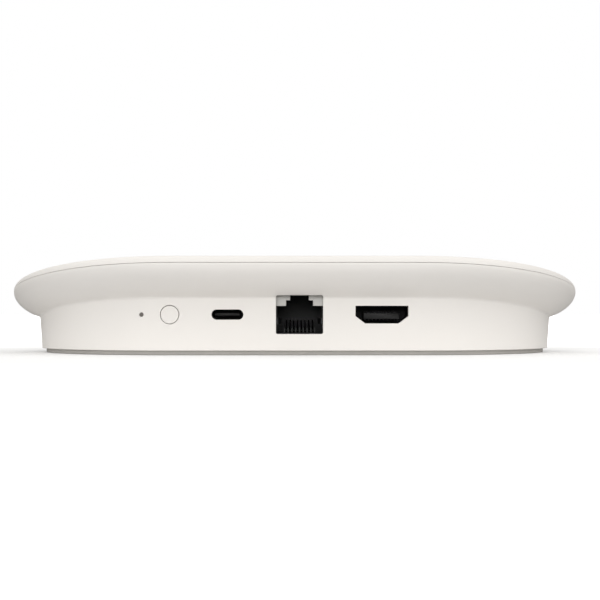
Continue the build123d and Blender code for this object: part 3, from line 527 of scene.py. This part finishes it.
@dataclass
class HdmiSocket:
    """Folded steel shell with a rolled lip, and the tongue with its contacts. Millimetres."""

    sheet: float = 0.4
    chamfer_width: float = 2.6
    chamfer_height: float = 1.95
    corner: float = 0.35
    lip: float = 0.25
    tongue_edge: float = 0.22
    tongue_corner: float = 0.1
    tongue_width: float = 9.8
    contact_stand: float = 0.15
    back_length: float = 3.0

    def mouth(self) -> tuple[Profile, Vector, Vector]:
        """Reads the mouth's outline off the shell's CAD box.

        Returns:
            The outline, and the lowest and highest corners of the shell in metres.
        """
        low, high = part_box("hdmi_shell")
        half = (high.x - low.x) / MM / 2 - self.sheet
        tall = (high.z - low.z) / MM / 2 - self.sheet
        step = tall - self.chamfer_height
        foot = half - self.chamfer_width
        corners = ((half, tall), (-half, tall), (-half, -step), (-foot, -tall), (foot, -tall), (half, -step))
        return Profile(corners, self.corner), low, high

    def shell(self) -> None:
        """Builds the folded shell."""
        mouth, low, high = self.mouth()
        shell = rolled_shell("hdmi_rolled_shell", mouth, self.sheet, self.lip, low, high)
        fit(shell, BLACK_NICKEL_STEEL, "hdmi_shell")

    def tongue(self) -> None:
        """Builds the plastic back and the tongue, whose tip is chamfered so that the plug slides on."""
        mouth, _, _ = self.mouth()
        low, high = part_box("hdmi_insulator")
        shell_low, shell_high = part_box("hdmi_shell")
        contacts_low, contacts_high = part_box("hdmi_contacts")
        centre = (shell_low + shell_high) / 2
        half = self.tongue_width / 2
        middle = (contacts_low.z + contacts_high.z) / 2
        tall = (contacts_high.z - contacts_low.z) / MM / 2 - self.contact_stand
        blade = Profile(((half, tall), (-half, tall), (-half, -tall), (half, -tall)), self.tongue_corner)
        axis = Vector((centre.x, 0.0, middle))
        root = low.y + self.back_length * MM
        back = loft("hdmi_back", [mouth.ring(centre, low.y), mouth.ring(centre, root)], False)
        fit(back, MOULDED_BLACK_LCP, "hdmi_insulator")
        tongue = plug_tongue("hdmi_tongue", blade, axis, (root, high.y), self.tongue_edge, 0.6)
        fit(tongue, MOULDED_BLACK_LCP, "hdmi_insulator")

    def build(self) -> set[str]:
        """Builds the socket.

        Returns:
            The names of the nodes that are done.
        """
        self.shell()
        self.tongue()
        dress("hdmi_contacts")
        return {"hdmi_shell", "hdmi_insulator", "hdmi_contacts"}


@dataclass
class UsbSocket:
    """Deep-drawn steel shell with round ends, and the thin tongue in its middle. Millimetres."""

    sheet: float = 0.32
    lip: float = 0.2
    back_length: float = 2.0
    tongue_width: float = 6.7
    tongue_thickness: float = 0.7
    tongue_edge: float = 0.12
    tongue_corner: float = 0.14

    def mouth(self) -> tuple[Profile, Vector, Vector]:
        """Reads the mouth's outline off the shell's CAD box.

        Returns:
            The outline, and the lowest and highest corners of the shell in metres.
        """
        low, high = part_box("usb_shell")
        half = (high.x - low.x) / MM / 2 - self.sheet
        tall = (high.z - low.z) / MM / 2 - self.sheet
        corners = ((half, tall), (-half, tall), (-half, -tall), (half, -tall))
        return Profile(corners, 0.995 * tall, 10), low, high

    def shell(self) -> None:
        """Builds the drawn shell."""
        mouth, low, high = self.mouth()
        shell = rolled_shell("usb_drawn_shell", mouth, self.sheet, self.lip, low, high)
        fit(shell, BLACK_NICKEL_STEEL, "usb_shell")

    def tongue(self) -> None:
        """Builds the plastic back and the tongue with its rounded tip."""
        mouth, _, _ = self.mouth()
        low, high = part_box("usb_insulator")
        centre = (low + high) / 2
        half = self.tongue_width / 2
        tall = self.tongue_thickness / 2
        blade = Profile(((half, tall), (-half, tall), (-half, -tall), (half, -tall)), self.tongue_corner)
        root = low.y + self.back_length * MM
        back = loft("usb_back", [mouth.ring(centre, low.y), mouth.ring(centre, root)], False)
        fit(back, MOULDED_BLACK_LCP, "usb_insulator")
        tongue = plug_tongue("usb_tongue", blade, centre, (root, high.y), self.tongue_edge, 0.4)
        fit(tongue, MOULDED_BLACK_LCP, "usb_insulator")

    def build(self) -> set[str]:
        """Builds the socket.

        Returns:
            The names of the nodes that are done.
        """
        self.shell()
        self.tongue()
        dress("usb_contacts")
        return {"usb_shell", "usb_insulator", "usb_contacts"}


@dataclass
class EthernetSocket:
    """Moulded body with its stepped mouth, light blocks, shield, and eight sprung wires. Millimetres."""

    wire: float = 0.45
    count: int = 8
    rise: float = 0.9
    front_run: float = 0.6
    tail_start: float = 2.7
    nodes: tuple[str, ...] = ("ethernet_body", "ethernet_shield", "ethernet_lights")

    def wires(self) -> None:
        """Builds the wires as smooth springs that run forward along the floor and turn back upward."""
        low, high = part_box("ethernet_contacts")
        radius = self.wire * MM / 2
        pitch = (high.x - low.x - 2 * radius) / (self.count - 1)
        curve = bpy.data.curves.new("ethernet_wires", "CURVE")
        curve.dimensions = "3D"
        curve.bevel_depth = radius
        curve.bevel_resolution = 4
        curve.use_fill_caps = True
        floor = low.z + radius
        front = high.y - radius
        run = self.front_run * MM
        tail_y = low.y + self.tail_start * MM
        side = [
            (low.y, floor),
            (front - 5 * run, floor),
            (front - run, floor),
            (front, floor + self.rise * MM / 2),
            (front - run, floor + self.rise * MM),
            ((front + tail_y) / 2, (floor + self.rise * MM + high.z - radius) / 2),
            (tail_y, high.z - 1.5 * radius),
        ]
        for i in range(self.count):
            x = low.x + radius + i * pitch
            spline = curve.splines.new("NURBS")
            spline.points.add(len(side) - 1)
            for point, (y, z) in zip(spline.points, side):
                point.co = (x, y, z, 1.0)
            spline.order_u = 3
            spline.use_endpoint_u = True
            spline.resolution_u = 8
        piece = bpy.data.objects.new("ethernet_wires", curve)
        bpy.context.scene.collection.objects.link(piece)
        # the wires' near-black colour is painted shade for the inside of the socket
        fit(piece, SHADE_DARKENED_NICKEL_BRONZE, "ethernet_contacts")

    def build(self) -> set[str]:
        """Builds the socket.

        Returns:
            The names of the nodes that are done.
        """
        for node in self.nodes:
            # the shield takes the darkened copy of its tinned steel: painted shade for the socket's mouth
            dress(node, MOUTH_SHADED_STEEL if node == "ethernet_shield" else None)
        self.wires()
        return {*self.nodes, "ethernet_contacts"}


@dataclass
class RearControls:
    """The button with its switch, and the status light with its rod."""

    nodes: tuple[str, ...] = (
        "button_cap", "switch_body", "switch_frame", "switch_plunger", "status_light_pipe", "status_led",
    )

    def build(self) -> set[str]:
        """Dresses the controls.

        Returns:
            The names of the nodes that are done.
        """
        for node in self.nodes:
            dress(node)
        return set(self.nodes)


@dataclass
class Electronics:
    """The board and all that stands on it or is wired to it."""

    def build(self, done: set[str]) -> None:
        """Dresses every node that no other sub-assembly has dressed.

        Args:
            done: the names of the nodes already dressed.
        """
        for node in sorted(set(frame["nodes"]) - done):
            dress(node)


@dataclass(frozen=True)
class SoftBox:
    """A soft lamp that faces the player. Its place and size are in metres and its power is in watts."""

    name: str
    place: tuple[float, float, float]
    size: Point2
    power: float


@dataclass
class Studio:
    """A pale floor, a white surround, soft lamps and the camera behind the player.

    Lengths are in metres, unless they end in mm, and angles in degrees. The camera looks at the rear
    wall from just above the sockets' height. The floor's colour, as the lamps' rays see it, holds a painted
    pool of light, an oval round the player: pale up to table_near from its middle, painted dark shade
    beyond table_far, and longer along X by one over squeeze.
    """

    distance: float = 0.400
    above_sockets: float = 0.0011
    lens: float = 82.85
    sensor: float = 36.0
    near_clip: float = 0.01
    far_clip: float = 20.0
    pitch: float = 0.436
    heading: float = 0.2116
    floor_half: float = 3.0
    floor_gap: float = 0.00002
    tooth_mm: float = 1.5
    squeeze: float = 0.42
    table_middle: float = 0.02
    table_near: float = 0.03
    table_far: float = 0.07
    # painted dark shade that the floor's colour takes beyond table_far, for the lamps' rays
    painted_far_shade: str = "#303030"
    spill: float = 0.0
    lift: float = 0.07
    lift_far: float = 1.1
    horizon: float = 0.19
    zenith: float = 0.97
    open_sky: float = 0.8
    tint: str = "#fffefc"
    aim: tuple[float, float, float] = (0.0, 0.0, 0.01)
    soft_boxes: tuple[SoftBox, ...] = (
        SoftBox("top_box", (0.0, 0.1, 1.1), (1.4, 1.0), 1.1),
        SoftBox("rear_box", (0.2, 1.2, 0.34), (1.2, 0.4), 7.9),
        SoftBox("side_box", (-1.1, 0.3, 0.5), (0.7, 0.7), 2.3),
    )

    def camera(self) -> bpy.types.Object:
        """Sets up the camera.

        Returns:
            The camera object, made the scene's camera.
        """
        low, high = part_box("usb_shell")
        height = (low.z + high.z) / 2 + self.above_sockets
        data = bpy.data.cameras.new("camera")
        data.lens = self.lens
        data.sensor_width = self.sensor
        data.clip_start = self.near_clip
        data.clip_end = self.far_clip
        camera = bpy.data.objects.new("camera", data)
        bpy.context.scene.collection.objects.link(camera)
        camera.location = (0.0, self.distance, height)
        pitch = math.radians(self.pitch)
        heading = math.radians(self.heading)
        level = Vector((-math.sin(heading), -math.cos(heading), 0.0)) * math.cos(pitch)
        gaze = level + Vector((0.0, 0.0, math.sin(pitch)))
        camera.rotation_euler = gaze.to_track_quat("-Z", "Y").to_euler()
        bpy.context.scene.camera = camera
        return camera

    def floor(self) -> bpy.types.Object:
        """Lays the floor under the foot pad.

        Returns:
            The floor object.
        """
        low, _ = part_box("foot_pad")
        half = self.floor_half
        mesh = bpy.data.meshes.new("floor")
        level = low.z - self.floor_gap
        corners = [(-half, -half, level), (half, -half, level), (half, half, level), (-half, half, level)]
        mesh.from_pydata(corners, [], [(0, 1, 2, 3)])
        floor = bpy.data.objects.new("floor", mesh)
        bpy.context.scene.collection.objects.link(floor)
        mesh.materials.append(self.paper())
        return floor

    def paper(self) -> bpy.types.Material:
        """Makes the floor's white paper. For the lamps' rays its colour is a painted pool of light, pale
        near the player and painted dark beyond, with a painted glow near it of strength spill; to the camera
        it shows pale, with a glow that rises with distance and fades it into the surround.

        Returns:
            The floor's material.
        """
        material = bpy.data.materials.new("matte_white_paper")
        material.use_nodes = True
        tree = material.node_tree
        tree.nodes.clear()
        place = add_node(tree, "ShaderNodeTexCoord").outputs["Object"]
        tooth = add_node(
            tree, "ShaderNodeTexNoise", {"Vector": place, "Scale": per_metre(self.tooth_mm), "Detail": 3.0},
        )
        oblong = add_node(
            tree, "ShaderNodeMapping",
            {"Vector": place, "Location": (0.0, -self.table_middle, 0.0), "Scale": (self.squeeze, 1.0, 0.0)},
        )
        reach = add_node(
            tree, "ShaderNodeVectorMath", {0: oblong.outputs["Vector"]}, operation="LENGTH",
        ).outputs["Value"]
        away = add_node(
            tree, "ShaderNodeMapRange",
            {"Value": reach, "From Min": self.table_near, "From Max": self.table_far},
        ).outputs["Result"]
        pale = add_node(
            tree, "ShaderNodeMix",
            {0: tooth.outputs["Fac"], 6: linear("#f0f0f0"), 7: linear("#f3f3f3")},
            data_type="RGBA",
        )
        # painted pool of light: for the lamps' rays the floor's colour fades from pale near the player to
        # painted dark shade beyond table_far
        painted_light_pool = add_node(
            tree, "ShaderNodeMix",
            {0: away, 6: pale.outputs[2], 7: linear(self.painted_far_shade)},
            data_type="RGBA",
        )
        # painted glow: the floor near the player gives off light of its own, standing in for light spilled
        # from the floor
        spill = add_node(tree, "ShaderNodeMapRange", {"Value": away, "To Min": self.spill, "To Max": 0.0})
        lift = add_node(
            tree, "ShaderNodeMapRange",
            {"Value": reach, "From Min": self.table_far, "From Max": 3 * self.table_far,
             "To Min": self.lift, "To Max": self.lift_far},
        )
        shown = add_node(tree, "ShaderNodeBsdfDiffuse", {"Color": pale.outputs[2]})
        shown_lift = add_node(tree, "ShaderNodeEmission", {"Strength": lift.outputs["Result"]})
        lit = add_node(tree, "ShaderNodeBsdfDiffuse", {"Color": painted_light_pool.outputs[2]})
        painted_spill_glow = add_node(tree, "ShaderNodeEmission", {"Strength": spill.outputs["Result"]})
        shown_sum = add_node(tree, "ShaderNodeAddShader", {0: shown.outputs[0], 1: shown_lift.outputs[0]})
        lit_sum = add_node(tree, "ShaderNodeAddShader", {0: lit.outputs[0], 1: painted_spill_glow.outputs[0]})
        seen = add_node(tree, "ShaderNodeLightPath").outputs["Is Camera Ray"]
        both = add_node(
            tree, "ShaderNodeMixShader", {0: seen, 1: lit_sum.outputs[0], 2: shown_sum.outputs[0]},
        )
        add_node(tree, "ShaderNodeOutputMaterial", {"Surface": both.outputs[0]})
        return material

    def hang(self, box: SoftBox) -> bpy.types.Object:
        """Hangs one soft box and turns it to the player.

        Args:
            box: the lamp to hang.

        Returns:
            The lamp object.
        """
        data = bpy.data.lights.new(box.name, "AREA")
        data.shape = "RECTANGLE"
        data.size, data.size_y = box.size
        data.energy = box.power
        lamp = bpy.data.objects.new(box.name, data)
        bpy.context.scene.collection.objects.link(lamp)
        lamp.location = box.place
        facing = Vector(self.aim) - Vector(box.place)
        lamp.rotation_euler = facing.to_track_quat("-Z", "Y").to_euler()
        return lamp

    def surround(self) -> None:
        """Sets a white surround that is brighter overhead than at the horizon."""
        world = bpy.data.worlds.new("surround")
        world.use_nodes = True
        tree = world.node_tree
        tree.nodes.clear()
        backdrop = add_node(tree, "ShaderNodeBackground", {"Color": linear("#ffffff"), "Strength": 1.0})
        facing = add_node(tree, "ShaderNodeTexCoord").outputs["Generated"]
        height = add_node(tree, "ShaderNodeSeparateXYZ", {0: facing}).outputs["Z"]
        fall = add_node(
            tree, "ShaderNodeMapRange",
            {"Value": height, "From Max": self.open_sky, "To Min": self.horizon, "To Max": self.zenith},
        )
        soft = add_node(
            tree, "ShaderNodeBackground", {"Color": linear(self.tint), "Strength": fall.outputs["Result"]},
        )
        seen = add_node(tree, "ShaderNodeLightPath").outputs["Is Camera Ray"]
        both = add_node(tree, "ShaderNodeMixShader", {0: seen, 1: soft.outputs[0], 2: backdrop.outputs[0]})
        add_node(tree, "ShaderNodeOutputWorld", {"Surface": both.outputs[0]})
        bpy.context.scene.world = world

    def build(self) -> None:
        """Sets up the whole studio."""
        self.camera()
        self.floor()
        self.surround()
        for box in self.soft_boxes:
            self.hang(box)
        bpy.context.scene.view_settings.view_transform = "Standard"
        LOG.info("studio ready")


def main() -> None:
    """Builds the player's visual model and the studio round it."""
    logging.basicConfig(level=logging.INFO, format="%(name)s: %(message)s")
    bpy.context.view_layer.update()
    done: set[str] = set()
    for part in (Case(), RearControls(), HdmiSocket(), UsbSocket(), EthernetSocket()):
        done |= part.build()
        LOG.info("%s ready", type(part).__name__)
    Electronics().build(done)
    Studio().build()


if __name__ == "__main__":
    main()
